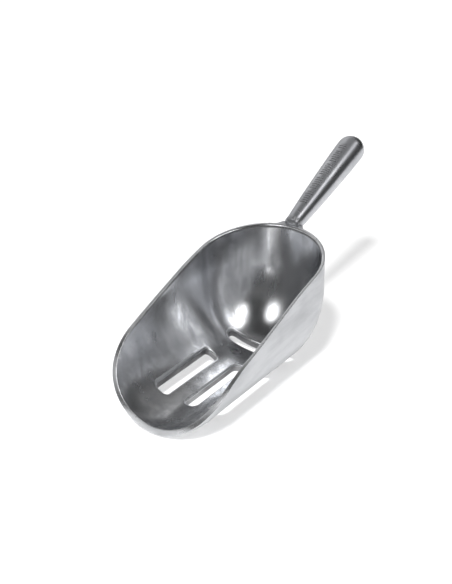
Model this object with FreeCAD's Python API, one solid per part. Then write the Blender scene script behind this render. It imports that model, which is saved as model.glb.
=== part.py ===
"""Cast aluminium ice scoop with drain slots.

The bowl is a round-bottomed trough. Its back is the trough's own section
carried round a half turn, and its lip curls up a little. The rim is cut to a
side profile of three straight runs joined by two arcs. Three straight slots
and one curved slot drain the floor. A tapered round handle lies in a saddle
in the boss behind the rim, and a dressed bead of weld closes the joint.

Frame: origin on the surface the scoop rests on, under the axis of the round
back. +Y runs from the lip to the handle, +X to the right, +Z up. Millimetres.
"""
import FreeCAD, Part
import math
import os

V = FreeCAD.Vector
X_AXIS = V(1, 0, 0)
Z_AXIS = V(0, 0, 1)

# ---- bowl: outer shape ----
half_width = 39.0            # outside, half of the bowl's width
bowl_length = 141.0          # from the lip's tip to the outside of the back
side_height = 47.7           # height at which the section's side turns upright
lip_reach = 14.3             # stretch at the lip over which the underside curls up
toe_radius = 43.3            # radius of that curl, at the underside
foot_flat_depth = 0.4        # depth ground off the underside, so that it stands

# ---- bowl: wall ----
rim_wall = 2.3               # wall of the upright sides and the back
floor_thickness = 4.4        # floor under the slots
inner_toe_radius = 56.0      # the floor's own curl, so that the lip thins out

# ---- bowl: rim, seen from the side ----
lip_angle = 76.2             # slope at the lip, in degrees from level
side_angle = 19.0            # slope along the sides
back_angle = 13.6            # slope round the back
lip_corner_run = 7.7         # from the lip's tip back to the first corner
back_corner_run = 86.4       # from the lip's tip back to the second corner
lip_bend = 47.0              # radius that rounds the first corner
back_bend = 210.0            # radius that rounds the second corner

# ---- drain slots ----
slot_width = 7.8
slot_length = 52.6
slot_pitch = 17.5            # between the middle lines of neighbouring slots
side_slot_start = 30.0       # from the lip's tip to the front of a side slot
middle_slot_start = 32.7     # the same for the middle slot
slot_corner = 2.9            # rounding of the straight slots' corners, seen from above
slot_edge = 0.8              # rounding of the slots' upper edges
curved_slot_width = 7.4
curved_slot_radius = 68.0    # radius of its middle line
curved_slot_reach = 17.6     # half of its length, to the centre of an end
curved_slot_behind_axis = 6.8

# ---- handle ----
handle_length = 86.0
handle_angle = 20.5          # slope of its axis
handle_drop = 1.3            # its axis below the rim, at the back wall's outside
handle_foot_gap = 1.2        # from the back wall's outside to the handle's end
foot_radius = 5.0
lower_radius = 6.5
upper_radius = 7.9
knob_radius = 8.8
lower_station = 22.0         # from the foot to where lower_radius is measured
upper_station = 49.0

# ---- boss and weld ----
boss_radius = 7.8
boss_depth = 2.6             # how far the boss stands out behind the back wall
bead_nose = 1.6              # bead in front of the handle's foot
bead_height = 0.5            # bead outside the handle's foot
bead_length = 4.5            # along the handle, from its foot

# ---- worked out from the sizes above ----
back_radius = half_width
tip_y = back_radius - bowl_length
toe_y = tip_y + lip_reach
base = -foot_flat_depth
lip_rise = toe_radius - math.sqrt(toe_radius ** 2 - lip_reach ** 2)
headroom = bowl_length       # higher than the rim
beyond = 2 * bowl_length     # past the scoop on every side
under = half_width           # below the scoop
toe_turn = 50.0              # degrees of curl, well past the lip
slab = 2.0                   # thickness of the blocks that slice a face out of the section
touching = 1e-4


def section(half, bottom, top):
    """Bowl section in the XZ plane: the lower half of an ellipse, then upright sides to top."""
    centre = V(0, 0, side_height)
    depth = V(0, 0, side_height - bottom)
    right, left = V(half, 0, side_height), V(-half, 0, side_height)
    if depth.z > half:
        arc = Part.Ellipse(centre + depth, right, centre).toShape(math.pi / 2, 1.5 * math.pi)
    else:
        arc = Part.Ellipse(right, centre - depth, centre).toShape(0, math.pi)
    corners = [right, V(half, 0, top), V(-half, 0, top), left]
    lines = [Part.makeLine(a, b) for a, b in zip(corners, corners[1:])]
    return Part.Face(Part.Wire(Part.__sortEdges__([arc] + lines)))


def hull(wall, floor, curl):
    """The bowl as a solid block, inset from its outside by wall and floor."""
    bottom = base + floor
    full = section(half_width - wall, bottom, headroom)
    right_slab = Part.makeBox(beyond, slab, beyond, V(0, -slab / 2, base))
    low_slab = Part.makeBox(beyond, slab, curl, V(-half_width, -slab / 2, bottom))
    right_half = full.common(right_slab).Faces[0]
    under_axis = full.common(low_slab).Faces[0]
    trough = full.translated(V(0, toe_y, 0)).extrude(V(0, -toe_y, 0))
    back = right_half.revolve(V(0, 0, 0), Z_AXIS, 180)
    toe_axis = V(0, toe_y, bottom + curl)
    toe = under_axis.translated(V(0, toe_y, 0)).revolve(toe_axis, -X_AXIS, toe_turn)
    return trough.fuse([back, toe]).removeSplitter().Solids[0]


def rounded_path(corners, radii):
    """Edges through the corners, with a tangent arc of the given radius at each inner one."""
    edges = []
    start = corners[0]
    for before, corner, after, radius in zip(corners, corners[1:], corners[2:], radii):
        into = (corner - before).normalize()
        out = (after - corner).normalize()
        setback = radius * math.tan(into.getAngle(out) / 2)
        first, last = corner - into * setback, corner + out * setback
        middle = corner + (out - into).normalize() * radius * (1 / math.cos(into.getAngle(out) / 2) - 1)
        edges.append(Part.makeLine(start, first))
        edges.append(Part.Arc(first, middle, last).toShape())
        start = last
    edges.append(Part.makeLine(start, corners[-1]))
    return edges


def slope(angle):
    return math.tan(math.radians(angle))


def rim_corners():
    """The two corners of the rim's side profile, before they are rounded."""
    rise = lip_corner_run * slope(lip_angle)
    first = V(0, tip_y + lip_corner_run, base + lip_rise + rise)
    run = back_corner_run - lip_corner_run
    second = first + V(0, run, run * slope(side_angle))
    return first, second


def below_rim():
    """Everything under the rim: its side profile, drawn out across the bowl."""
    first, second = rim_corners()
    low = V(0, first.y - (first.z + under) / slope(lip_angle), -under)
    high = V(0, beyond, second.z + (beyond - second.y) * slope(back_angle))
    edges = rounded_path([low, first, second, high], [lip_bend, back_bend])
    edges.append(Part.makeLine(high, V(0, beyond, -under)))
    edges.append(Part.makeLine(V(0, beyond, -under), low))
    return Part.Face(Part.Wire(edges)).translated(V(-beyond, 0, 0)).extrude(V(2 * beyond, 0, 0))


def straight_slot(x, start):
    """Cutter of a straight slot along Y, with rounded corners."""
    height = under + side_height
    block = Part.makeBox(slot_width, slot_length, height, V(x - slot_width / 2, start, -under))
    upright = [edge for edge in block.Edges if abs(edge.Length - height) < touching]
    return block.makeFillet(slot_corner, upright).Solids[0]


def curved_slot():
    """Cutter of the curved slot, bulging towards the back, with round ends."""
    r = curved_slot_width / 2
    centre = V(0, curved_slot_behind_axis - curved_slot_radius, 0)
    half_angle = math.asin(curved_slot_reach / curved_slot_radius)

    def at(radius, angle):
        return centre + V(radius * math.sin(angle), radius * math.cos(angle), 0)

    def side(radius, turn):
        return Part.Arc(at(radius, -turn), at(radius, 0), at(radius, turn)).toShape()

    def end(turn):
        outward = V(math.cos(turn), -math.sin(turn), 0) * math.copysign(r, turn)
        tip = at(curved_slot_radius, turn) + outward
        return Part.Arc(at(curved_slot_radius + r, turn), tip, at(curved_slot_radius - r, turn)).toShape()

    edges = [side(curved_slot_radius + r, half_angle), end(half_angle)]
    edges += [side(curved_slot_radius - r, -half_angle), end(-half_angle)]
    outline = Part.Face(Part.Wire(Part.__sortEdges__(edges)))
    return outline.translated(V(0, 0, -under)).extrude(V(0, 0, under + side_height))


def slot_cutters():
    return [
        straight_slot(-slot_pitch, tip_y + side_slot_start),
        straight_slot(0, tip_y + middle_slot_start),
        straight_slot(slot_pitch, tip_y + side_slot_start),
        curved_slot(),
    ]


def upper_slot_edges(shape, hollow, cutters):
    """The edges where the slots' walls meet the floor."""
    found = []
    for edge in shape.Edges:
        middle = Part.Vertex(edge.valueAt((edge.FirstParameter + edge.LastParameter) / 2))
        on_floor = middle.distToShape(hollow.Shells[0])[0] < touching
        on_slot = min(middle.distToShape(c.Shells[0])[0] for c in cutters) < touching
        if on_floor and on_slot:
            found.append(edge)
    return found


handle_way = V(0, math.cos(math.radians(handle_angle)), math.sin(math.radians(handle_angle)))
above_handle = X_AXIS.cross(handle_way)
back_corner = rim_corners()[1]
rim_at_back = back_corner.z + (back_radius - back_corner.y) * slope(back_angle)
axis_at_wall = V(0, back_radius, rim_at_back - handle_drop)
handle_foot = axis_at_wall + handle_way * handle_foot_gap


def beside_axis(distance, radius=0.0):
    """Point in the middle plane, at a distance along the handle from its foot."""
    return handle_foot + handle_way * distance + above_handle * radius


def smooth_side(stations, start_way=None):
    """Edge through (distance, radius) stations that ends parallel to the handle's axis."""
    points = [beside_axis(distance, radius) for distance, radius in stations]
    curve = Part.BSplineCurve()
    if start_way:
        curve.interpolate(points, InitialTangent=start_way, FinalTangent=handle_way)
    else:
        curve.interpolate(points, FinalTangent=handle_way)
    return curve.toShape()


def spun(edges):
    """Solid of the closed outline, revolved about the handle's axis."""
    return Part.Face(Part.Wire(edges)).revolve(handle_foot, handle_way, 360)


def make_handle():
    ball = handle_length - knob_radius
    stations = [
        (0, foot_radius),
        (lower_station, lower_radius),
        (upper_station, upper_radius),
        (ball, knob_radius),
    ]
    tip = beside_axis(handle_length)
    on_ball = beside_axis(ball + knob_radius * math.sin(math.pi / 4), knob_radius * math.cos(math.pi / 4))
    return spun([
        Part.makeLine(handle_foot, beside_axis(0, foot_radius)),
        smooth_side(stations),
        Part.Arc(beside_axis(ball, knob_radius), on_ball, tip).toShape(),
        Part.makeLine(tip, handle_foot),
    ])


def make_bead(bowl, handle):
    """Weld bead: a thin sleeve with a domed nose over the handle's foot, cut back to both castings."""
    crown = boss_depth / 2
    widest = foot_radius + bead_height
    shoulder = foot_radius + bead_height * 2 / 3
    end_radius = foot_radius + (lower_radius - foot_radius) * bead_length / lower_station
    nose, end = beside_axis(-bead_nose), beside_axis(bead_length)
    over_nose = smooth_side([(-bead_nose, 0), (0, shoulder), (crown, widest)], above_handle)
    sleeve = spun([
        over_nose,
        Part.makeLine(beside_axis(crown, widest), beside_axis(bead_length, end_radius)),
        Part.makeLine(beside_axis(bead_length, end_radius), end),
        Part.makeLine(end, nose),
    ])
    return sleeve.cut(bowl).cut(handle)


def make_bowl(handle):
    """The casting: walls, boss with a saddle for the handle, ground foot, drain slots."""
    outside = hull(0, 0, toe_radius)
    hollow = hull(rim_wall, floor_thickness, inner_toe_radius)
    boss_start = axis_at_wall - handle_way * 2 * boss_radius
    boss = Part.makeCylinder(boss_radius, 2 * boss_radius + boss_depth, boss_start, handle_way)
    ground_away = Part.makeBox(beyond, beyond, under, V(-beyond / 2, -beyond / 2, -under))
    bowl = outside.fuse(boss).cut(hollow).common(below_rim()).cut(ground_away).cut(handle)
    cutters = slot_cutters()
    for cutter in cutters:
        bowl = bowl.cut(cutter)
    bowl = bowl.removeSplitter().Solids[0]
    return bowl.makeFillet(slot_edge, upper_slot_edges(bowl, hollow, cutters)).Solids[0]


handle = make_handle()
bowl = make_bowl(handle)
handle_weld = make_bead(bowl, handle)

os.makedirs("parts", exist_ok=True)
bowl.exportStep("parts/bowl.step")
handle.exportStep("parts/handle.step")
handle_weld.exportStep("parts/handle_weld.step")
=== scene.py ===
import math

import bmesh
import bpy
import numpy
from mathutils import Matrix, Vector, geometry, kdtree


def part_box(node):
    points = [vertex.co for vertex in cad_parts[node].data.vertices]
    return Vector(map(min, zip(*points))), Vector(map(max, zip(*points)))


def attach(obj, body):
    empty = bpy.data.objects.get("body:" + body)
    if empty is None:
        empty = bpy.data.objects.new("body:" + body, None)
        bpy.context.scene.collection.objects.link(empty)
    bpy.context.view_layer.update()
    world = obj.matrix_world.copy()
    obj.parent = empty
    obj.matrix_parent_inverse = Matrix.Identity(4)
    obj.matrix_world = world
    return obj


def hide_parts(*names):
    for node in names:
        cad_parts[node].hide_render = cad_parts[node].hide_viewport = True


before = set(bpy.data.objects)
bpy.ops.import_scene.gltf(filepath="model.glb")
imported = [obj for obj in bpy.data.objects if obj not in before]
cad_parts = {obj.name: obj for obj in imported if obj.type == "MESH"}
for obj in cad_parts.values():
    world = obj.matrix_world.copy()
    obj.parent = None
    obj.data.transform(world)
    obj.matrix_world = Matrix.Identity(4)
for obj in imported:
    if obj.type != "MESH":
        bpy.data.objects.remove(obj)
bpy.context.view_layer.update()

# ---- bowl ----
# The real bowl is one aluminium casting, about 2.3 mm thick up the sides and 4.4 mm at the
# floor. It is polished inside, left satin outside, and its rim and foot are ground. Four
# drain slots go through the floor, and a boss behind the rim takes the handle.
bowl_low, bowl_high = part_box("bowl")
half_width = bowl_high[0]
tip_y = bowl_low[1]
side_height = 0.0477
lip_reach = 0.0143
toe_y = tip_y + lip_reach
foot_flat_depth = 0.0004
base = -foot_flat_depth

rim_wall = 0.0023
floor_thickness = 0.0044
outer_curl = 0.0433
inner_curl = 0.056

lip_angle = math.radians(76.2)
side_angle = math.radians(19.0)
back_angle = math.radians(13.6)
lip_corner_run = 0.0077
back_corner_run = 0.0864
lip_bend = 0.047
back_bend = 0.21

inner_rim_width = 0.0012
inner_rim_drop = 0.0020
lip_share_of_rounding = 0.28
rounding_grows_over = 0.040
outer_rim_edge = 0.0003

slot_width = 0.0078
slot_length = 0.0526
slot_pitch = 0.0175
side_slot_start = tip_y + 0.030
middle_slot_start = tip_y + 0.0327
slot_corner = 0.0029
slot_upper_edge = 0.0011
slot_lower_edge = 0.0004
curved_slot_width = 0.0074
curved_slot_radius = 0.068
curved_slot_reach = 0.0176
curved_slot_y = 0.0068

handle_angle = math.radians(20.5)
handle_drop = 0.0013
boss_radius = 0.0078
boss_depth = 0.0026
boss_fillet = 0.0016

mesh_step = 0.00105
boss_step = 0.0005
section_steps = 500
edge_steps = 6
lip_steps = 84
side_steps = 90
back_steps = 92
land_rows = 3
slot_wall_rows = 4
slot_corner_steps = 8
slot_side_pieces = 44
slot_end_pieces = 3
curved_end_steps = 16
curved_side_steps = 15

lip_rise = outer_curl - math.sqrt(outer_curl ** 2 - (toe_y - tip_y) ** 2)
lip_corner = (tip_y + lip_corner_run, base + lip_rise + lip_corner_run * math.tan(lip_angle))
corner_gap = back_corner_run - lip_corner_run
back_corner = (lip_corner[0] + corner_gap, lip_corner[1] + corner_gap * math.tan(side_angle))
rim_bends = [
    (lip_corner, lip_angle, side_angle, lip_bend),
    (back_corner, side_angle, back_angle, back_bend),
]


def rim_height(y):
    """Height of the rim's side profile: three straight runs joined by two arcs."""
    z = lip_corner[1] + (y - lip_corner[0]) * math.tan(lip_angle)
    for (corner_y, corner_z), before, after, bend in rim_bends:
        setback = bend * math.tan((before - after) / 2)
        start_y = corner_y - setback * math.cos(before)
        end_y = corner_y + setback * math.cos(after)
        centre_y = start_y + bend * math.sin(before)
        centre_z = corner_z - setback * math.sin(before) - bend * math.cos(before)
        on_arc = centre_z + numpy.sqrt(numpy.maximum(bend ** 2 - (y - centre_y) ** 2, 0))
        past_arc = corner_z + (y - corner_y) * math.tan(after)
        z = numpy.where(y > start_y, numpy.where(y < end_y, on_arc, past_arc), z)
    return z


def below_rim(y, depth):
    """Height of the rim's cut, sunk square to itself by depth."""
    tiny = 1e-5
    rise = (rim_height(y + tiny) - rim_height(y - tiny)) / (2 * tiny)
    return rim_height(y) - depth * numpy.sqrt(1 + rise ** 2)


handle_way = numpy.array([0, math.cos(handle_angle), math.sin(handle_angle)])
above_handle = numpy.array([0, -math.sin(handle_angle), math.cos(handle_angle)])
axis_at_wall = numpy.array([0, half_width, rim_height(half_width) - handle_drop])


def smooth_step(value):
    held = numpy.clip(value, 0, 1)
    return held * held * (3 - 2 * held)


def boss_swell(points):
    """How far each point of the outer wall stands out, along +Y, to form the boss."""
    from_axis = points - axis_at_wall
    away = numpy.hypot(from_axis[:, 0], from_axis @ above_handle)
    share = smooth_step((boss_radius + boss_fillet - away) / (2 * boss_fillet))
    short = numpy.maximum(boss_depth - from_axis @ handle_way, 0) / math.cos(handle_angle)
    return numpy.where(points[:, 1] > 0, short * share, 0)


class Skin:
    """One side of the bowl's wall, laid out flat as (across, along) on the floor's middle line.

    Its section is a half ellipse that turns upright. The section runs along the trough, goes
    round the back about the upright axis, and rolls up at the toe with the radius curl.
    """

    def __init__(self, half, bottom, curl, outside):
        self.half, self.bottom, self.curl, self.outside = half, bottom, curl, outside
        turn = numpy.linspace(0, math.pi / 2, section_steps)
        self.x = numpy.append(half * numpy.sin(turn), half)
        self.z = side_height - (side_height - bottom) * numpy.cos(turn)
        self.z = numpy.append(self.z, side_height + half)
        steps = numpy.hypot(numpy.diff(self.x), numpy.diff(self.z))
        self.stretch = numpy.concatenate([[0], numpy.cumsum(steps)])

    def height(self, stretch):
        return numpy.interp(stretch, self.stretch, self.z)

    def at_height(self, z):
        return numpy.interp(z, self.z, self.stretch)

    def rolled(self, stretch, turn):
        """Along and up, at a stretch up the section, rolled about the toe's axis."""
        arm = self.curl - (self.height(stretch) - self.bottom)
        return toe_y - arm * numpy.sin(turn), self.bottom + self.curl - arm * numpy.cos(turn)

    def place(self, flat):
        """Points in space of flat (across, along) points."""
        across, along = flat[:, 0], flat[:, 1]
        stretch = numpy.where(along > 0, numpy.hypot(across, along), numpy.abs(across))
        reach = numpy.interp(stretch, self.stretch, self.x)
        share = reach / numpy.maximum(stretch, 1e-9)
        share = numpy.where(stretch < 1e-7, 1, share)
        toe_along, toe_up = self.rolled(stretch, numpy.maximum(toe_y - along, 0) / self.curl)
        y = numpy.where(along > 0, along * share, numpy.where(along < toe_y, toe_along, along))
        z = numpy.where(along < toe_y, toe_up, self.height(stretch))
        points = numpy.stack([across * share, y, z], axis=1)
        if self.outside:
            points[:, 1] += boss_swell(points)
            points[:, 2] = numpy.maximum(points[:, 2], 0)
        return points

    def flatten(self, plan):
        """Flat points of the floor's plan (x, y) points, behind the toe."""
        x, y = plan[:, 0], plan[:, 1]
        reach = numpy.where(y > 0, numpy.hypot(x, y), numpy.abs(x))
        stretch = numpy.interp(reach, self.x[:-1], self.stretch[:-1])
        share = numpy.where(reach < 1e-7, 1, stretch / numpy.maximum(reach, 1e-9))
        return numpy.stack([x * share, numpy.where(y > 0, y * share, y)], axis=1)

    def rim(self, depth, halvings=40, boss_rounds=12):
        """Flat loop where the rim's cut, sunk by depth, meets this skin.

        The lip is found by halving its turn, and the boss by standing the wall out again and again.
        """
        top = self.at_height(below_rim(numpy.array([toe_y]), depth))[0]
        lip_stretch = top * numpy.linspace(0, 1, lip_steps)
        less, more = numpy.zeros(lip_steps), numpy.ones(lip_steps)
        for _ in range(halvings):
            turn = (less + more) / 2
            y, z = self.rolled(lip_stretch, turn)
            too_low = z < below_rim(y, depth)
            less, more = numpy.where(too_low, turn, less), numpy.where(too_low, more, turn)
        lip = numpy.stack([lip_stretch, toe_y - self.curl * less], axis=1)

        y = numpy.linspace(toe_y, 0, side_steps)[1:]
        side = numpy.stack([self.at_height(below_rim(y, depth)), y], axis=1)

        angle = numpy.linspace(0, math.pi / 2, back_steps)[1:]
        wall = self.half * numpy.stack([numpy.cos(angle), numpy.sin(angle), 0 * angle], axis=1)
        y = wall[:, 1]
        for _ in range(boss_rounds):
            wall[:, 2] = below_rim(y, depth)
            y = wall[:, 1] + (boss_swell(wall) if self.outside else 0)
        stretch = self.at_height(wall[:, 2])
        back = numpy.stack([stretch * numpy.cos(angle), stretch * numpy.sin(angle)], axis=1)

        right = numpy.concatenate([lip, side, back])
        left = right[-2:0:-1] * [-1, 1]
        return numpy.concatenate([right, left])


def rounded_slot(x, start, grow):
    """Plan outline of a straight slot, grown by grow all round."""
    radius = slot_corner + grow
    half = slot_width / 2 + grow
    near, far = start - grow, start + slot_length + grow
    outline = []
    for side_x, side_y, turn in ((1, near, -90), (1, far, 0), (-1, far, 90), (-1, near, 180)):
        centre_x = x + side_x * (half - radius)
        centre_y = side_y + radius * (1 if side_y == near else -1)
        for step in range(slot_corner_steps + 1):
            angle = math.radians(turn + step * 90 / slot_corner_steps)
            outline.append((centre_x + radius * math.cos(angle), centre_y + radius * math.sin(angle)))
    return spread(outline, slot_corner_steps + 1)


def curved_slot(grow):
    """Plan outline of the curved slot, which bulges towards the back, grown by grow."""
    radius = curved_slot_width / 2 + grow
    half_angle = math.asin(curved_slot_reach / curved_slot_radius)
    centre_y = curved_slot_y - curved_slot_radius

    def at(reach, angle):
        return reach * math.sin(angle), centre_y + reach * math.cos(angle)

    outline = []
    for side in (1, -1):
        end_x, end_y = at(curved_slot_radius, side * half_angle)
        first = side * (math.pi / 2 - half_angle)
        for step in range(curved_end_steps + 1):
            angle = first - math.pi * step / curved_end_steps
            outline.append((end_x + radius * math.cos(angle), end_y + radius * math.sin(angle)))
        reach = curved_slot_radius - side * radius
        for step in range(1, 2 * curved_side_steps):
            outline.append(at(reach, side * half_angle * (1 - step / curved_side_steps)))
    return numpy.array(outline[::-1])


def spread(outline, corner_points):
    """The outline with points added about a millimetre apart on its straight runs."""
    dense = []
    for index, (here, following) in enumerate(zip(outline, outline[1:] + outline[:1])):
        dense.append(here)
        if (index + 1) % corner_points == 0:
            pieces = slot_side_pieces if (index // corner_points) % 2 == 0 else slot_end_pieces
            for step in range(1, pieces):
                share = step / pieces
                dense.append([a + (b - a) * share for a, b in zip(here, following)])
    return numpy.array(dense)


slot_outlines = [
    lambda grow: rounded_slot(-slot_pitch, side_slot_start, grow),
    lambda grow: rounded_slot(0, middle_slot_start, grow),
    lambda grow: rounded_slot(slot_pitch, side_slot_start, grow),
    curved_slot,
]


def inside(points, loop):
    """Which of the flat points lie inside the closed loop."""
    x, y = points[:, :1], points[:, 1:]
    ax, ay = loop[:, 0], loop[:, 1]
    bx, by = numpy.roll(ax, -1), numpy.roll(ay, -1)
    level = by == ay
    rise = numpy.where(level, 1, by - ay)
    crossed = ((ay > y) != (by > y)) & (x < (bx - ax) * (y - ay) / rise + ax)
    return crossed.sum(axis=1) % 2 == 1


def lattice(low, high, step):
    """Flat points in a triangular lattice."""
    rows = numpy.arange(low[1], high[1], step * math.sqrt(3) / 2)
    columns = numpy.arange(low[0], high[0], step)
    across, along = numpy.meshgrid(columns, rows)
    across = across + (numpy.arange(len(rows)) % 2)[:, None] * step / 2
    return numpy.stack([across.ravel(), along.ravel()], axis=1)


def near_boss(points):
    """Which points lie on the boss or beside it, where the mesh is finer."""
    from_axis = points - axis_at_wall
    away = numpy.hypot(from_axis[:, 0], from_axis @ above_handle)
    return (away < boss_radius + 2 * boss_fillet) & (points[:, 1] > half_width / 2)


class Casting:
    """Collects the casting's points, faces and each face's finish."""

    def __init__(self):
        self.points, self.faces, self.finishes = [], [], []

    def loop(self, points):
        start = len(self.points)
        self.points.extend(map(tuple, points))
        return list(range(start, len(self.points)))

    def band(self, first, second, finish):
        """A closed strip of squares between two loops of as many points."""
        for index in range(len(first)):
            after = (index + 1) % len(first)
            self.faces.append((first[index], first[after], second[after], second[index]))
            self.finishes.append(finish)

    def rounded(self, start, corner, end, finishes):
        """Strips that turn smoothly from start to end; returns the loops of both."""
        loops = []
        for step in range(edge_steps + 1):
            share = step / edge_steps
            curve = start * (1 - share) ** 2 + corner * 2 * share * (1 - share) + end * share ** 2
            loops.append(self.loop(curve))
        for step in range(edge_steps):
            finish = finishes[0] if 2 * step < edge_steps else finishes[1]
            self.band(loops[step], loops[step + 1], finish)
        return loops[0], loops[-1]

    def fill(self, skin, edge, holes, edge_index, hole_indexes, finish):
        """Triangles of one skin, between its edge and its holes, flat loops all.

        Lattice points too near a loop are left out, and so are triangles with next to no area.
        """
        clear_of_loops = 0.45 * mesh_step
        least_area = 1e-5 * mesh_step ** 2
        millimetres = 1000
        coarse = lattice(edge.min(axis=0), edge.max(axis=0), mesh_step)
        if skin.outside:
            fine = lattice(edge.min(axis=0), edge.max(axis=0), boss_step)
            fine = fine[fine[:, 1] > half_width / 2]
            coarse = coarse[~near_boss(skin.place(coarse))]
            fine = fine[near_boss(skin.place(fine))]
            coarse = numpy.concatenate([coarse, fine])
        coarse = coarse[inside(coarse, edge)]
        for hole in holes:
            coarse = coarse[~inside(coarse, hole)]
        fixed = numpy.concatenate([edge] + holes)
        tree = kdtree.KDTree(len(fixed))
        for index, (across, along) in enumerate(fixed):
            tree.insert((across, along, 0), index)
        tree.balance()
        clear = [tree.find((across, along, 0))[2] > clear_of_loops for across, along in coarse]
        coarse = coarse[numpy.array(clear)]
        index = list(edge_index)
        for hole_index in hole_indexes:
            index += hole_index
        index += self.loop(skin.place(coarse))
        sides, start = [], 0
        for loop in [edge] + holes:
            count = len(loop)
            sides += [(start + step, start + (step + 1) % count) for step in range(count)]
            start += count
        flat = numpy.concatenate([fixed, coarse])
        spots = [Vector(point * millimetres) for point in flat]
        result = geometry.delaunay_2d_cdt(spots, sides, [], 0, 1e-6)
        corners = numpy.array(result[0]) / millimetres
        triangles = numpy.array(result[2])
        middles = corners[triangles].mean(axis=1)
        first, second, third = (corners[triangles[:, corner]] for corner in range(3))
        area = numpy.cross(second - first, third - first)
        keep = inside(middles, edge) & (area > least_area)
        for hole in holes:
            keep &= ~inside(middles, hole)
        source = [found[0] for found in result[3]]
        for triangle in triangles[keep]:
            self.faces.append(tuple(index[source[corner]] for corner in triangle))
            self.finishes.append(finish)


def make_bowl():
    outer = Skin(half_width, base, outer_curl, True)
    inner = Skin(half_width - rim_wall, base + floor_thickness, inner_curl, False)
    over_outer = Skin(half_width - outer_rim_edge, base + outer_rim_edge, outer_curl - outer_rim_edge, True)
    over_inner = Skin(
        half_width - rim_wall + inner_rim_width,
        base + floor_thickness - inner_rim_width,
        inner_curl + inner_rim_width,
        False,
    )
    inside_finish, land_finish, outside_finish, slot_finish = 0, 1, 2, 3
    casting = Casting()

    outer_edge = outer.rim(outer_rim_edge)
    inner_corner = inner.rim(0)
    corner = inner.place(inner_corner)
    grown = smooth_step((corner[:, 1:2] - toe_y) / rounding_grows_over)
    rounding = lip_share_of_rounding + (1 - lip_share_of_rounding) * grown
    inner_edge = inner_corner + (inner.rim(inner_rim_drop) - inner_corner) * rounding
    on_land = corner + (over_inner.place(over_inner.rim(0)) - corner) * rounding
    outer_foot, outer_top = casting.rounded(
        outer.place(outer_edge), outer.place(outer.rim(0)), over_outer.place(over_outer.rim(0)),
        (outside_finish, land_finish),
    )
    inner_top, inner_foot = casting.rounded(
        on_land, corner, inner.place(inner_edge),
        (inside_finish, inside_finish),
    )
    land = [outer_top]
    start = numpy.array([casting.points[index] for index in outer_top])
    end = numpy.array([casting.points[index] for index in inner_top])
    for row in range(1, land_rows):
        points = start + (end - start) * row / land_rows
        points[:, 2] = rim_height(points[:, 1])
        land.append(casting.loop(points))
    land.append(inner_top)
    for first, second in zip(land, land[1:]):
        casting.band(first, second, land_finish)

    inner_holes, outer_holes, inner_indexes, outer_indexes = [], [], [], []
    for outline in slot_outlines:
        plan = outline(0)
        wide = inner.flatten(outline(slot_upper_edge))
        top = inner.place(inner.flatten(plan))
        wall_top = top - [0, 0, slot_upper_edge]
        upper, wall_start = casting.rounded(
            inner.place(wide), top, wall_top, (land_finish, land_finish),
        )
        low_wide = outer.flatten(outline(slot_lower_edge))
        low = outer.place(outer.flatten(plan))
        wall_low = low + [0, 0, slot_lower_edge]
        wall_end, lower = casting.rounded(
            wall_low, low, outer.place(low_wide), (outside_finish, outside_finish),
        )
        rows = [wall_start]
        for row in range(1, slot_wall_rows):
            rows.append(casting.loop(wall_top + (wall_low - wall_top) * row / slot_wall_rows))
        rows.append(wall_end)
        for first, second in zip(rows, rows[1:]):
            casting.band(first, second, slot_finish)
        inner_holes.append(wide)
        outer_holes.append(low_wide)
        inner_indexes.append(upper)
        outer_indexes.append(lower)
    casting.fill(inner, inner_edge, inner_holes, inner_foot, inner_indexes, inside_finish)
    casting.fill(outer, outer_edge, outer_holes, outer_foot, outer_indexes, outside_finish)

    mesh = bpy.data.meshes.new("bowl_casting")
    mesh.from_pydata(casting.points, [], casting.faces)
    mesh.polygons.foreach_set("material_index", casting.finishes)
    made = bmesh.new()
    made.from_mesh(mesh)
    bmesh.ops.recalc_face_normals(made, faces=made.faces)
    if made.calc_volume(signed=True) < 0:
        bmesh.ops.reverse_faces(made, faces=made.faces)
    made.to_mesh(mesh)
    made.free()
    mesh.shade_smooth()
    piece = bpy.data.objects.new("bowl_casting", mesh)
    bpy.context.scene.collection.objects.link(piece)
    return piece


bowl = make_bowl()

# The casting's metal: pale aluminium alloy. Hand polishing leaves fine streaks up the walls and
# cloudy bands; grinding leaves short lines. Both finishes come from the same two effects.
def new_group(name, inputs, outputs):
    """An empty shader node group, with its inputs as (name, kind, value) and its outputs."""
    group = bpy.data.node_groups.new(name, "ShaderNodeTree")
    for label, kind, value in inputs:
        socket = group.interface.new_socket(label, in_out="INPUT", socket_type=kind)
        socket.default_value = value
    for label in outputs:
        group.interface.new_socket(label, in_out="OUTPUT", socket_type="NodeSocketFloat")
    return group


def add_node(tree, kind, settings=(), **inputs):
    """A node with its settings made, and its inputs linked or set by name (_ for a space)."""
    node = tree.nodes.new(kind)
    for name, value in dict(settings).items():
        setattr(node, name, value)
    for name, value in inputs.items():
        label = int(name[1:]) if name[0] == "n" and name[1:].isdigit() else name.replace("_", " ")
        socket = node.inputs[label]
        if isinstance(value, bpy.types.NodeSocket):
            tree.links.new(value, socket)
        else:
            socket.default_value = value
    return node


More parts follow.
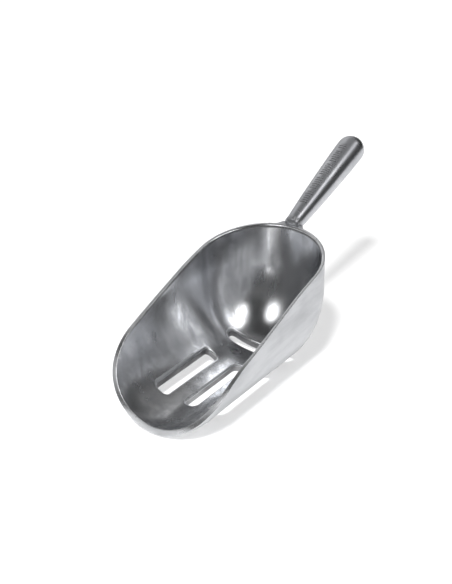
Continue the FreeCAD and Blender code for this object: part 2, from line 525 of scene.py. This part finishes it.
def make_brushing():
    """Fine lines drawn out along one direction, with broken, uneven strength."""
    group = new_group(
        "brushing",
        [("Place", "NodeSocketVector", (0, 0, 0)), ("Draw", "NodeSocketVector", (1, 1, 1)),
         ("Fineness", "NodeSocketFloat", 900.0)],
        ["Lines", "Strength"],
    )
    given = add_node(group, "NodeGroupInput").outputs
    drawn = add_node(group, "ShaderNodeVectorMath", {"operation": "MULTIPLY"},
                     n0=given["Place"], n1=given["Draw"])
    fine = add_node(group, "ShaderNodeTexNoise", Vector=drawn.outputs[0], Scale=given["Fineness"],
                    Detail=4.0, Roughness=0.62)
    broken = add_node(group, "ShaderNodeTexNoise", Vector=given["Place"], Scale=55.0, Detail=3.0)
    strength = add_node(group, "ShaderNodeMapRange", Value=broken.outputs[0], From_Min=0.36, From_Max=0.66)
    result = add_node(group, "NodeGroupOutput")
    group.links.new(fine.outputs[0], result.inputs["Lines"])
    group.links.new(strength.outputs[0], result.inputs["Strength"])
    return group


def make_clouding():
    """Soft uneven patches that the polishing mop leaves, drawn out along one direction."""
    group = new_group(
        "clouding",
        [("Place", "NodeSocketVector", (0, 0, 0)), ("Draw", "NodeSocketVector", (1, 1, 1)),
         ("Coarseness", "NodeSocketFloat", 60.0)],
        ["Patches", "Swell"],
    )
    given = add_node(group, "NodeGroupInput").outputs
    drawn = add_node(group, "ShaderNodeVectorMath", {"operation": "MULTIPLY"},
                     n0=given["Place"], n1=given["Draw"])
    patches = add_node(group, "ShaderNodeTexNoise", Vector=drawn.outputs[0], Scale=given["Coarseness"],
                       Detail=5.0, Roughness=0.6, Distortion=0.4)
    contrast = add_node(group, "ShaderNodeMapRange", Value=patches.outputs[0], From_Min=0.33, From_Max=0.67)
    swell = add_node(group, "ShaderNodeTexNoise", Vector=drawn.outputs[0], Scale=given["Coarseness"],
                     Detail=1.5)
    result = add_node(group, "NodeGroupOutput")
    group.links.new(contrast.outputs[0], result.inputs["Patches"])
    group.links.new(swell.outputs[0], result.inputs["Swell"])
    return group


brushing = make_brushing()
clouding = make_clouding()
line_share = 0.8
low_from = 0.010
low_to = 0.026


def aluminium(name, dark, light, smooth, rough, draw, fineness, line_height, swell_height,
              coarseness=60.0, low_draw=None):
    """Aluminium between two tones and two roughnesses, with its lines drawn along a direction.

    With low_draw, the lines near the bowl's floor are drawn along that direction instead.
    """
    finish = bpy.data.materials.new(name)
    finish.use_nodes = True
    tree = finish.node_tree
    metal = tree.nodes["Principled BSDF"]
    metal.inputs["Metallic"].default_value = 1.0
    place = add_node(tree, "ShaderNodeTexCoord").outputs["Object"]
    lines = add_node(tree, "ShaderNodeGroup", {"node_tree": brushing}, Place=place, Draw=draw,
                     Fineness=fineness)
    cloud = add_node(tree, "ShaderNodeGroup", {"node_tree": clouding}, Place=place, Draw=draw,
                     Coarseness=coarseness)
    line = lines.outputs["Lines"]
    if low_draw:
        low = add_node(tree, "ShaderNodeGroup", {"node_tree": brushing}, Place=place, Draw=low_draw,
                       Fineness=fineness)
        height = add_node(tree, "ShaderNodeSeparateXYZ", Vector=place).outputs["Z"]
        share = add_node(tree, "ShaderNodeMapRange", Value=height, From_Min=low_from, From_Max=low_to)
        line = add_node(tree, "ShaderNodeMix", {"data_type": "FLOAT"}, Factor=share.outputs[0],
                        A=low.outputs["Lines"], B=line).outputs[0]
    worn = add_node(tree, "ShaderNodeMath", {"operation": "MULTIPLY"}, n0=line, n1=lines.outputs["Strength"])
    shade = add_node(tree, "ShaderNodeMath", {"operation": "MULTIPLY_ADD"}, n0=worn.outputs[0],
                     n1=line_share, n2=cloud.outputs["Patches"])
    tone = add_node(tree, "ShaderNodeMix", {"data_type": "RGBA"}, Factor=shade.outputs[0])
    tone.inputs[6].default_value = (*dark, 1)
    tone.inputs[7].default_value = (*light, 1)
    tree.links.new(tone.outputs[2], metal.inputs["Base Color"])
    dulled = add_node(tree, "ShaderNodeMapRange", Value=shade.outputs[0], To_Min=rough, To_Max=smooth)
    tree.links.new(dulled.outputs[0], metal.inputs["Roughness"])
    swell = add_node(tree, "ShaderNodeBump", Strength=1.0, Distance=swell_height,
                     Height=cloud.outputs["Swell"])
    scratch = add_node(tree, "ShaderNodeBump", Strength=1.0, Distance=line_height,
                       Height=line, Normal=swell.outputs[0])
    tree.links.new(scratch.outputs[0], metal.inputs["Normal"])
    return finish


up_the_wall = (1.0, 1.0, 0.12)
along_the_floor = (1.0, 0.08, 1.0)
round_the_wall = (0.35, 0.35, 1.6)
every_way = (1.0, 1.0, 1.0)
bowl.data.materials.append(aluminium(
    "polished_inside", dark=(0.56, 0.57, 0.595), light=(0.91, 0.92, 0.94), smooth=0.18, rough=0.30,
    draw=up_the_wall, fineness=1500.0, line_height=0.000014, swell_height=0.00003,
    coarseness=140.0, low_draw=along_the_floor,
))
bowl.data.materials.append(aluminium(
    "ground_rim", dark=(0.66, 0.67, 0.69), light=(0.82, 0.83, 0.85), smooth=0.26, rough=0.38,
    draw=every_way, fineness=1400.0, line_height=0.00001, swell_height=0.0,
))
bowl.data.materials.append(aluminium(
    "satin_outside", dark=(0.56, 0.57, 0.59), light=(0.68, 0.69, 0.71), smooth=0.34, rough=0.44,
    draw=round_the_wall, fineness=900.0, line_height=0.00001, swell_height=0.0002,
))
# The slot walls are partly the duller as-cast finish and partly painted shade: their dark tone stands in for
# the shade inside the slots.
bowl.data.materials.append(aluminium(
    "cast_slot_wall_painted_shade", dark=(0.24, 0.24, 0.25), light=(0.42, 0.42, 0.43), smooth=0.38, rough=0.55,
    draw=every_way, fineness=1200.0, line_height=0.00003, swell_height=0.0,
))
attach(bowl, "root")
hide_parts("bowl")

# ---- handle ----
# The real handle is a solid aluminium casting, turned smooth and polished. It swells towards a
# round end and carries a row of shallow marks along its top. Its foot lies in the boss.
handle_length = 0.086
handle_foot_gap = 0.0012
handle_foot = axis_at_wall + handle_way * handle_foot_gap
foot_radius = 0.005
lower_radius = 0.0065
upper_radius = 0.0079
knob_radius = 0.0088
lower_station = 0.022
upper_station = 0.049
foot_edge = 0.0005

marks_start = 0.015
marks_end = 0.0712
mark_pitch = 0.00185
mark_width = 0.00085
mark_shortest = 0.0036
mark_longest = 0.0054
mark_depth = 0.00028
mark_edge = 0.00028
marks_in_group = 6
mark_seed = 7
mark_tone = (0.20, 0.20, 0.21)
mark_roughness = 0.5

ring_gap = 0.0008
fine_ring_gap = 0.00017
fine_rings_past_marks = 0.001
plain_rings_past_marks = 0.0014
fine_half_angle = math.radians(34)
fine_sides = 58
plain_sides = 50
foot_edge_steps = 4
ball_steps = 28

ball_centre = handle_length - knob_radius
handle_stations = numpy.array([0, lower_station, upper_station, ball_centre])
handle_radii = numpy.array([foot_radius, lower_radius, upper_radius, knob_radius])


def handle_radius(distance):
    """Radius at a distance from the foot: a smooth curve through the stations, level at the ball."""
    gaps = numpy.diff(handle_stations)
    rises = numpy.diff(handle_radii) / gaps
    slopes = [rises[0], (rises[0] + rises[1]) / 2, (rises[1] + rises[2]) / 2, 0]
    span = min(int(numpy.searchsorted(handle_stations, distance, side="right")) - 1, 2)
    t = (distance - handle_stations[span]) / gaps[span]
    start, end = handle_radii[span], handle_radii[span + 1]
    first, last = slopes[span] * gaps[span], slopes[span + 1] * gaps[span]
    bend = start * (2 * t ** 3 - 3 * t ** 2 + 1) + end * (3 * t ** 2 - 2 * t ** 3)
    return bend + first * (t ** 3 - 2 * t ** 2 + t) + last * (t ** 3 - t ** 2)


def turned(name, outline, angles, ripple=lambda distance, angle: 0.0):
    """A closed solid turned about the handle's axis, from its (distance, radius) outline."""
    sideways = numpy.array([1.0, 0, 0])
    points = [handle_foot + handle_way * outline[0][0]]
    for distance, radius in outline[1:-1]:
        for angle in angles:
            out = above_handle * math.cos(angle) + sideways * math.sin(angle)
            points.append(handle_foot + handle_way * distance + out * (radius + ripple(distance, angle)))
    points.append(handle_foot + handle_way * outline[-1][0])
    count, rings = len(angles), len(outline) - 2
    faces = [(0, 1 + side, 1 + (side + 1) % count) for side in range(count)]
    for ring in range(rings - 1):
        for side in range(count):
            here, after = 1 + ring * count + side, 1 + ring * count + (side + 1) % count
            faces.append((here, here + count, after + count, after))
    last = 1 + (rings - 1) * count
    faces += [(last + side, len(points) - 1, last + (side + 1) % count) for side in range(count)]
    mesh = bpy.data.meshes.new(name)
    mesh.from_pydata(points, [], faces)
    shape = bmesh.new()
    shape.from_mesh(mesh)
    bmesh.ops.recalc_face_normals(shape, faces=shape.faces)
    shape.to_mesh(mesh)
    shape.free()
    mesh.shade_smooth()
    piece = bpy.data.objects.new(name, mesh)
    bpy.context.scene.collection.objects.link(piece)
    return piece


def make_handle():
    """The handle's solid, with fine rings and sides under the marks and plain ones elsewhere."""
    outline = [(0, 0), (0, foot_radius / 2)]
    for step in range(foot_edge_steps + 1):
        angle = math.pi / 2 * step / foot_edge_steps
        radius = foot_radius - foot_edge * (1 - math.sin(angle))
        outline.append((foot_edge * (1 - math.cos(angle)), radius))
    before = numpy.arange(foot_edge + ring_gap, marks_start - fine_rings_past_marks, ring_gap)
    under_marks = numpy.arange(marks_start - ring_gap, marks_end + fine_rings_past_marks, fine_ring_gap)
    after = numpy.arange(marks_end + plain_rings_past_marks, ball_centre, ring_gap)
    outline += [(distance, handle_radius(distance)) for distance in (*before, *under_marks, *after)]
    for step in range(ball_steps):
        angle = math.pi / 2 * step / ball_steps
        outline.append((ball_centre + knob_radius * math.sin(angle), knob_radius * math.cos(angle)))
    outline.append((handle_length, 0))
    top = numpy.linspace(-fine_half_angle, fine_half_angle, fine_sides)
    rest_of_turn = numpy.linspace(fine_half_angle, 2 * math.pi - fine_half_angle, plain_sides)[1:-1]
    return turned("handle_casting", outline, [*top, *rest_of_turn])


def make_mark_tree(finish):
    """Geometry nodes that press a row of short bars into the top of the handle, in groups."""
    tree = bpy.data.node_groups.new("pressed_marks", "GeometryNodeTree")
    tree.interface.new_socket("Geometry", in_out="INPUT", socket_type="NodeSocketGeometry")
    for label, kind in (
        ("Foot", "Vector"), ("Way", "Vector"), ("Up", "Vector"), ("Start", "Float"), ("End", "Float"),
        ("Pitch", "Float"), ("Bar Width", "Float"), ("Shortest", "Float"), ("Longest", "Float"),
        ("Depth", "Float"), ("Edge", "Float"), ("Bars in a Group", "Float"), ("Seed", "Int"),
    ):
        tree.interface.new_socket(label, in_out="INPUT", socket_type="NodeSocket" + kind)
    tree.interface.new_socket("Geometry", in_out="OUTPUT", socket_type="NodeSocketGeometry")
    given = add_node(tree, "NodeGroupInput").outputs

    def calculate(operation, *values):
        inputs = {f"n{index}": value for index, value in enumerate(values)}
        return add_node(tree, "ShaderNodeMath", {"operation": operation}, **inputs).outputs[0]

    def vector(operation, output, *values):
        inputs = {f"n{index}": value for index, value in enumerate(values)}
        return add_node(tree, "ShaderNodeVectorMath", {"operation": operation}, **inputs).outputs[output]

    def soft_limit(distance, limit):
        low = calculate("SUBTRACT", limit, given["Edge"])
        ramp = add_node(tree, "ShaderNodeMapRange", {"interpolation_type": "SMOOTHSTEP"}, Value=distance,
                        From_Min=low, From_Max=limit, To_Min=1.0, To_Max=0.0)
        return ramp.outputs[0]

    place = add_node(tree, "GeometryNodeInputPosition").outputs[0]
    from_foot = vector("SUBTRACT", "Vector", place, given["Foot"])
    along = vector("DOT_PRODUCT", "Value", from_foot, given["Way"])
    above = vector("DOT_PRODUCT", "Value", from_foot, given["Up"])
    across = add_node(tree, "ShaderNodeSeparateXYZ", Vector=place).outputs["X"]
    cell = calculate("DIVIDE", calculate("SUBTRACT", along, given["Start"]), given["Pitch"])
    number = calculate("FLOOR", cell)
    off_middle = calculate("MULTIPLY", calculate("SUBTRACT", calculate("FRACT", cell), 0.5), given["Pitch"])
    half_bar = calculate("MULTIPLY", given["Bar Width"], 0.5)
    in_bar = soft_limit(calculate("ABSOLUTE", off_middle), half_bar)
    draw = add_node(tree, "FunctionNodeRandomValue", {"data_type": "FLOAT"})
    tree.links.new(given["Shortest"], draw.inputs[2])
    tree.links.new(given["Longest"], draw.inputs[3])
    tree.links.new(number, draw.inputs["ID"])
    tree.links.new(given["Seed"], draw.inputs["Seed"])
    in_length = soft_limit(calculate("ABSOLUTE", across), calculate("MULTIPLY", draw.outputs[1], 0.5))
    group_size = calculate("ADD", given["Bars in a Group"], 1.0)
    place_in_group = calculate("FLOORED_MODULO", number, group_size)
    in_group = calculate("LESS_THAN", place_in_group, given["Bars in a Group"])
    after_start = calculate("GREATER_THAN", along, given["Start"])
    before_end = calculate("LESS_THAN", along, given["End"])
    on_top = calculate("GREATER_THAN", above, 0.0)
    depth = given["Depth"]
    for mask in (in_bar, in_length, in_group, after_start, before_end, on_top):
        depth = calculate("MULTIPLY", depth, mask)
    down = add_node(tree, "ShaderNodeVectorMath", {"operation": "SCALE"}, n0=given["Up"],
                    Scale=calculate("MULTIPLY", depth, -1.0))
    marked = add_node(tree, "GeometryNodeStoreNamedAttribute", {"data_type": "FLOAT", "domain": "POINT"},
                      Geometry=given["Geometry"], Name="pressed",
                      Value=calculate("DIVIDE", depth, given["Depth"]))
    pressed = add_node(tree, "GeometryNodeSetPosition", Geometry=marked.outputs[0], Offset=down.outputs[0])
    real = add_node(tree, "GeometryNodeRealizeInstances", Geometry=pressed.outputs[0])
    finished = add_node(tree, "GeometryNodeSetMaterial", Geometry=real.outputs[0], Material=finish)
    result = add_node(tree, "NodeGroupOutput")
    tree.links.new(finished.outputs[0], result.inputs[0])
    return tree


def press_marks(piece, finish):
    """Runs the marks' geometry nodes on the piece and keeps the result as its plain mesh."""
    tree = make_mark_tree(finish)
    marks = piece.modifiers.new("marks", "NODES")
    marks.node_group = tree
    values = {
        "Foot": tuple(handle_foot), "Way": tuple(handle_way), "Up": tuple(above_handle),
        "Start": marks_start, "End": marks_end, "Pitch": mark_pitch, "Bar Width": mark_width,
        "Shortest": mark_shortest, "Longest": mark_longest, "Depth": mark_depth, "Edge": mark_edge,
        "Bars in a Group": float(marks_in_group), "Seed": mark_seed,
    }
    for item in tree.interface.items_tree:
        if item.in_out == "INPUT" and item.name in values:
            marks[item.identifier] = values[item.name]
    evaluated = piece.evaluated_get(bpy.context.evaluated_depsgraph_get())
    pressed = bpy.data.meshes.new_from_object(evaluated)
    piece.modifiers.remove(marks)
    piece.data = pressed


def darken_marks(finish):
    """Makes the sunk marks dark and dull, by their pressed attribute."""
    tree = finish.node_tree
    metal = tree.nodes["Principled BSDF"]
    sunk = add_node(tree, "ShaderNodeAttribute", {"attribute_name": "pressed"}).outputs["Fac"]
    tone = add_node(tree, "ShaderNodeMix", {"data_type": "RGBA"}, Factor=sunk)
    tree.links.new(metal.inputs["Base Color"].links[0].from_socket, tone.inputs[6])
    tone.inputs[7].default_value = (*mark_tone, 1)
    tree.links.new(tone.outputs[2], metal.inputs["Base Color"])
    dulled = add_node(tree, "ShaderNodeMix", {"data_type": "FLOAT"}, Factor=sunk, B=mark_roughness)
    tree.links.new(metal.inputs["Roughness"].links[0].from_socket, dulled.inputs["A"])
    tree.links.new(dulled.outputs[0], metal.inputs["Roughness"])


handle = make_handle()
handle_finish = aluminium(
    "polished_handle", dark=(0.54, 0.55, 0.58), light=(0.68, 0.69, 0.72), smooth=0.26, rough=0.33,
    draw=(1.0, 0.5, 1.0), fineness=1100.0, line_height=0.000003, swell_height=0.00022,
    coarseness=90.0,
)
darken_marks(handle_finish)
press_marks(handle, handle_finish)
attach(handle, "root")
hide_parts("handle")

# ---- handle weld ----
# The real joint is one bead of aluminium weld round the handle's foot, run on the boss and the
# rim and then dressed by hand, so only soft ripples are left in it.
bead_nose = 0.0013
bead_height = 0.0003
bead_length = 0.0043
bead_crown = 0.0013
bead_end_sunk = 0.00005
bead_ripple = 0.00005
bead_ripples = 22
ripple_twist = 500
nose_steps = 16
tail_steps = 12
bead_sides = 132


def make_weld():
    """The bead's solid: a domed nose up to its crown, and a tail that dies into the handle."""
    widest = foot_radius + bead_height
    outline = [(-bead_nose, 0)]
    for step in range(1, nose_steps + 1):
        angle = math.pi / 2 * step / nose_steps
        distance = bead_crown - (bead_crown + bead_nose) * math.cos(angle)
        outline.append((distance, widest * math.sin(angle)))
    tail_radius = handle_radius(bead_length) - bead_end_sunk
    for step in range(1, tail_steps + 1):
        share = float(smooth_step(numpy.array(step / tail_steps)))
        distance = bead_crown + (bead_length - bead_crown) * step / tail_steps
        outline.append((distance, widest + (tail_radius - widest) * share))
    outline.append((bead_length, 0))

    def ripple(distance, angle):
        share = min(max((distance + bead_nose) / (bead_length + bead_nose), 0), 1)
        wave = math.sin(bead_ripples * angle + ripple_twist * distance)
        return bead_ripple * math.sin(math.pi * share) * wave

    angles = numpy.linspace(0, 2 * math.pi, bead_sides + 1)[:-1]
    return turned("handle_weld_bead", outline, angles, ripple)


weld = make_weld()
weld.data.materials.append(aluminium(
    "dressed_weld", dark=(0.50, 0.51, 0.53), light=(0.64, 0.65, 0.67), smooth=0.33, rough=0.5,
    draw=every_way, fineness=900.0, line_height=0.00002, swell_height=0.0004, coarseness=220.0,
))
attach(weld, "root")
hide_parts("handle_weld")

# ---- floor ----
# A plain pale sheet of paper, laid flat and wide enough to fill the view. Only in the metal's
# reflections it is painted darker than it looks, and nearly black in front of the scoop: a painted
# reflection.
floor_width = 8
floor_tone_seen = 0.95
painted_reflection_tone = 0.70
painted_dark_reflection_in_front = 0.09
front_from = -0.22
front_to = -0.15
bpy.ops.mesh.primitive_plane_add(size=floor_width)
floor = bpy.context.object
floor.name = "floor"
paper = bpy.data.materials.new("pale_floor")
paper.use_nodes = True
sheet = paper.node_tree
sheet.nodes["Principled BSDF"].inputs["Roughness"].default_value = 0.95
sheet.nodes["Principled BSDF"].inputs["Specular IOR Level"].default_value = 0.0
on_sheet = add_node(sheet, "ShaderNodeTexCoord").outputs["Object"]
along_sheet = add_node(sheet, "ShaderNodeSeparateXYZ", Vector=on_sheet).outputs["Y"]
# Painted reflection: the floor gets a darker tone where the metal mirrors it, nearly black in front of the
# scoop.
painted_reflection = add_node(sheet, "ShaderNodeMapRange", Value=along_sheet, From_Min=front_from,
                        From_Max=front_to, To_Min=painted_dark_reflection_in_front, To_Max=painted_reflection_tone)
floor_tone = add_node(sheet, "ShaderNodeMix", {"data_type": "FLOAT"}, A=floor_tone_seen,
                      B=painted_reflection.outputs[0],
                      Factor=add_node(sheet, "ShaderNodeLightPath").outputs["Is Glossy Ray"])
sheet.links.new(floor_tone.outputs[0], sheet.nodes["Principled BSDF"].inputs["Base Color"])
floor.data.materials.append(paper)

# ---- studio ----
# One soft key from the front, a shadowless wash over the floor and an even fill. The metal mirrors
# none of them, only the floor and a dark tent with soft pale patches.
key_distance = 4.0
key = bpy.data.lights.new("key", "AREA")
key.shape = "DISK"
key.size = 0.60
key.energy = 133.0
key_object = bpy.data.objects.new("key", key)
bpy.context.scene.collection.objects.link(key_object)
key_way = Vector((0.20, -0.64, 0.74)).normalized()
key_object.location = key_way * key_distance
key_object.rotation_euler = key_way.to_track_quat("Z", "Y").to_euler()
key_object.visible_glossy = False

wash = bpy.data.lights.new("wash", "SUN")
wash.energy = 1.39
wash.use_shadow = False
wash_object = bpy.data.objects.new("wash", wash)
bpy.context.scene.collection.objects.link(wash_object)
wash_object.visible_glossy = False

fill_light = 0.33
dimmest = 0.045
backdrop_light = 1.0
tent = bpy.data.worlds.new("tent")
bpy.context.scene.world = tent
tent.use_nodes = True
sky = tent.node_tree
way = add_node(sky, "ShaderNodeTexCoord").outputs["Generated"]


def soft_patch(centre, along, half_length, half_width, softness, strength):
    """Strength of one soft patch of the tent, an oval about the direction centre.

    Its halves are sines of angles. The patch fades out over softness of them, each side of its edge.
    """
    centre, along = Vector(centre).normalized(), Vector(along).normalized()
    across = centre.cross(along).normalized()
    along = across.cross(centre)
    squares = []
    for axis in (along / half_length, across / half_width):
        off = add_node(sky, "ShaderNodeVectorMath", {"operation": "DOT_PRODUCT"}, n0=way, n1=tuple(axis))
        squares.append(add_node(sky, "ShaderNodeMath", {"operation": "MULTIPLY"}, n0=off.outputs["Value"],
                                n1=off.outputs["Value"]).outputs[0])
    total = add_node(sky, "ShaderNodeMath", {"operation": "ADD"}, n0=squares[0], n1=squares[1])
    size = add_node(sky, "ShaderNodeMath", {"operation": "SQRT"}, n0=total.outputs[0])
    glow = add_node(sky, "ShaderNodeMapRange", {"interpolation_type": "SMOOTHSTEP"}, Value=size.outputs[0],
                    From_Min=1 - softness, From_Max=1 + softness, To_Min=strength, To_Max=0.0)
    facing = add_node(sky, "ShaderNodeVectorMath", {"operation": "DOT_PRODUCT"}, n0=way, n1=tuple(centre))
    ahead = add_node(sky, "ShaderNodeMath", {"operation": "GREATER_THAN"}, n0=facing.outputs["Value"], n1=0.0)
    lit = add_node(sky, "ShaderNodeMath", {"operation": "MULTIPLY"}, n0=glow.outputs[0], n1=ahead.outputs[0])
    return lit.outputs[0]


def towards(azimuth, from_zenith):
    """Direction at an azimuth from +Y towards +X, and an angle from straight up, in degrees."""
    azimuth, from_zenith = math.radians(azimuth), math.radians(from_zenith)
    flat = math.sin(from_zenith)
    return flat * math.sin(azimuth), flat * math.cos(azimuth), math.cos(from_zenith)


patches = [
    soft_patch(towards(98, 42), (-0.1, 1, 0.35), 0.36, 0.19, 0.45, 2.7),
    soft_patch(towards(52, 40), (1, -1, 0), 0.22, 0.12, 0.7, 0.95),
    soft_patch(towards(-166, 49), (1, 0, 0), 0.20, 0.23, 0.6, 2.4),
    soft_patch(towards(-122, 62), (0, 1, 0), 0.42, 0.26, 0.7, 0.45),
    soft_patch(towards(165, 76), (1, 0, 0), 0.60, 0.25, 0.7, 0.08),
    soft_patch(towards(-52, 62), (0, 1, 0), 0.50, 0.42, 0.7, 0.58),
    soft_patch(towards(0, 25), (1, 0, 0), 0.50, 0.35, 0.7, 0.22),
]
tent_glow = dimmest
for patch in patches:
    tent_glow = add_node(sky, "ShaderNodeMath", {"operation": "ADD"}, n0=patch, n1=tent_glow).outputs[0]
ray = add_node(sky, "ShaderNodeLightPath").outputs
not_by_the_floor = add_node(sky, "ShaderNodeMath", {"operation": "LESS_THAN"},
                            n0=ray["Diffuse Depth"], n1=0.5)
seen_in_metal = add_node(sky, "ShaderNodeMath", {"operation": "MULTIPLY"}, n0=ray["Is Glossy Ray"],
                         n1=not_by_the_floor.outputs[0])
around = add_node(sky, "ShaderNodeMix", {"data_type": "FLOAT"}, Factor=seen_in_metal.outputs[0],
                  A=fill_light, B=tent_glow)
backdrop = add_node(sky, "ShaderNodeMix", {"data_type": "FLOAT"}, Factor=ray["Is Camera Ray"],
                    A=around.outputs[0], B=backdrop_light)
sky.links.new(backdrop.outputs[0], sky.nodes["Background"].inputs["Color"])

bpy.context.scene.view_settings.view_transform = "Standard"

# ---- camera ----
# A long lens in front of the lip and a third of a right angle round to its right, looking down
# into the bowl.
camera = bpy.data.cameras.new("camera")
camera_object = bpy.data.objects.new("camera", camera)
bpy.context.scene.collection.objects.link(camera_object)
camera_aim = Vector((0.0158, -0.0567, 0.0711))
camera_azimuth = math.radians(32.76)
camera_elevation = math.radians(24.9)
camera_distance = 0.632
level_reach = camera_distance * math.cos(camera_elevation)
camera_object.location = camera_aim + Vector((
    math.sin(camera_azimuth) * level_reach,
    -math.cos(camera_azimuth) * level_reach,
    camera_distance * math.sin(camera_elevation),
))
camera_object.rotation_euler = (math.pi / 2 - camera_elevation, 0, camera_azimuth)
camera.lens = 74.02
camera.sensor_width = 36
camera.clip_start = 0.01
bpy.context.scene.camera = camera_object
